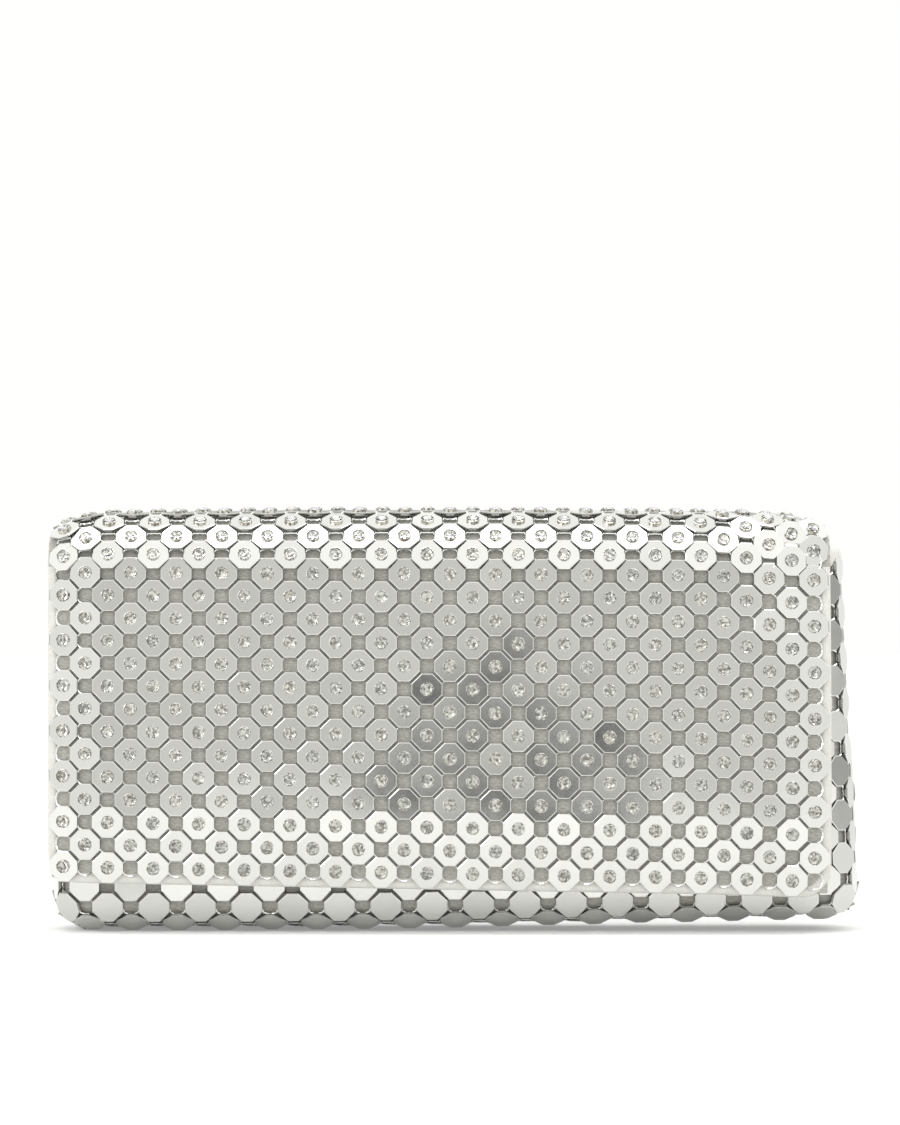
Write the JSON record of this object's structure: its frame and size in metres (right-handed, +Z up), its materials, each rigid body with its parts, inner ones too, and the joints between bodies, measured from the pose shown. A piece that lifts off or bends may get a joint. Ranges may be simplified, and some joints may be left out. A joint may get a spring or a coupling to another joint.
{
  "type": "evening bag",
  "caption": "Small structured evening bag covered with linked octagonal metal plates, with a crystal-set front flap that rolls over the top and shuts with a magnetic snap.",
  "frame": {"origin": "middle of the closed bag's footprint, on the surface that it stands on", "axes": "+X to the right as seen from the front, +Y from the front flap to the back, +Z up"},
  "size_m": [0.208, 0.043, 0.1096],
  "materials": {
    "plate_metal": "polished flat plates with satin bevels",
    "crystal_plate_metal": "polished plates, each set with a clear round crystal",
    "facing_satin": "pale grey satin",
    "lining_satin": "grey satin",
    "backing_felt": "non-woven backing",
    "board": "plain stiffening board",
    "snap_metal": "bright nickel plate",
    "magnet": "dark sintered magnet"
  },
  "bodies": {
    "bag": {"mesh_front": "plate_metal", "board_front": "board", "lining_front": "lining_satin", "mesh_back": "plate_metal", "board_back": "board", "lining_back": "lining_satin", "mesh_left": "plate_metal", "backing_left": "backing_felt", "lining_left": "lining_satin", "mesh_right": "plate_metal", "backing_right": "backing_felt", "lining_right": "lining_satin", "mesh_base": "plate_metal", "board_base": "board", "lining_base": "lining_satin", "binding_front": "facing_satin", "binding_left": "facing_satin", "binding_right": "facing_satin", "pocket_panel": "lining_satin", "pocket_binding": "facing_satin", "snap_socket": "snap_metal", "snap_magnet": "magnet", "snap_socket_washer": "snap_metal"},
    "flap_row_1": {"flap_mesh_row_1": "crystal_plate_metal", "flap_lining_row_1": "facing_satin"},
    "flap_row_2": {"flap_mesh_row_2": "crystal_plate_metal", "flap_lining_row_2": "facing_satin"},
    "flap_row_3": {"flap_mesh_row_3": "crystal_plate_metal", "flap_lining_row_3": "facing_satin"},
    "flap_row_4": {"flap_mesh_row_4": "crystal_plate_metal", "flap_lining_row_4": "facing_satin"},
    "flap_row_5": {"flap_mesh_row_5": "crystal_plate_metal", "flap_lining_row_5": "facing_satin"},
    "flap_row_6": {"flap_mesh_row_6": "crystal_plate_metal", "flap_lining_row_6": "facing_satin"},
    "flap_row_7": {"flap_mesh_row_7": "crystal_plate_metal", "flap_lining_row_7": "facing_satin"},
    "flap_front": {"flap_mesh_front": "crystal_plate_metal", "flap_board": "board", "flap_lining": "facing_satin", "flap_binding_left": "facing_satin", "flap_binding_right": "facing_satin", "flap_binding_bottom": "facing_satin", "snap_stud": "snap_metal", "snap_stud_washer": "snap_metal"}
  },
  "joints": [
    {"name": "flap_hinge_1", "type": "hinge", "parent": "bag", "child": "flap_row_1", "pos_m": [0, 0.0215, 0.0975], "axis": [-1, 0, 0], "range_deg": [0, 30]},
    {"name": "flap_hinge_2", "type": "hinge", "parent": "flap_row_1", "child": "flap_row_2", "pos_m": [0, 0.0192, 0.10304], "axis": [-1, 0, 0], "range_deg": [0, 30]},
    {"name": "flap_hinge_3", "type": "hinge", "parent": "flap_row_2", "child": "flap_row_3", "pos_m": [0, 0.01496, 0.10729], "axis": [-1, 0, 0], "range_deg": [0, 30]},
    {"name": "flap_hinge_4", "type": "hinge", "parent": "flap_row_3", "child": "flap_row_4", "pos_m": [0, 0.00942, 0.10958], "axis": [-1, 0, 0], "range_deg": [0, 30]},
    {"name": "flap_hinge_5", "type": "hinge", "parent": "flap_row_4", "child": "flap_row_5", "pos_m": [0, -0.00942, 0.10958], "axis": [-1, 0, 0], "range_deg": [0, 30]},
    {"name": "flap_hinge_6", "type": "hinge", "parent": "flap_row_5", "child": "flap_row_6", "pos_m": [0, -0.01496, 0.10729], "axis": [-1, 0, 0], "range_deg": [0, 30]},
    {"name": "flap_hinge_7", "type": "hinge", "parent": "flap_row_6", "child": "flap_row_7", "pos_m": [0, -0.0192, 0.10304], "axis": [-1, 0, 0], "range_deg": [0, 30]},
    {"name": "flap_hinge_8", "type": "hinge", "parent": "flap_row_7", "child": "flap_front", "pos_m": [0, -0.0215, 0.0975], "axis": [-1, 0, 0], "range_deg": [0, 30]}
  ],
  "couplings": [
    {"joint": "flap_hinge_2", "follows": "flap_hinge_1", "ratio": 1},
    {"joint": "flap_hinge_3", "follows": "flap_hinge_1", "ratio": 1},
    {"joint": "flap_hinge_4", "follows": "flap_hinge_1", "ratio": 1},
    {"joint": "flap_hinge_5", "follows": "flap_hinge_1", "ratio": 1},
    {"joint": "flap_hinge_6", "follows": "flap_hinge_1", "ratio": 1},
    {"joint": "flap_hinge_7", "follows": "flap_hinge_1", "ratio": 1},
    {"joint": "flap_hinge_8", "follows": "flap_hinge_1", "ratio": 1}
  ]
}
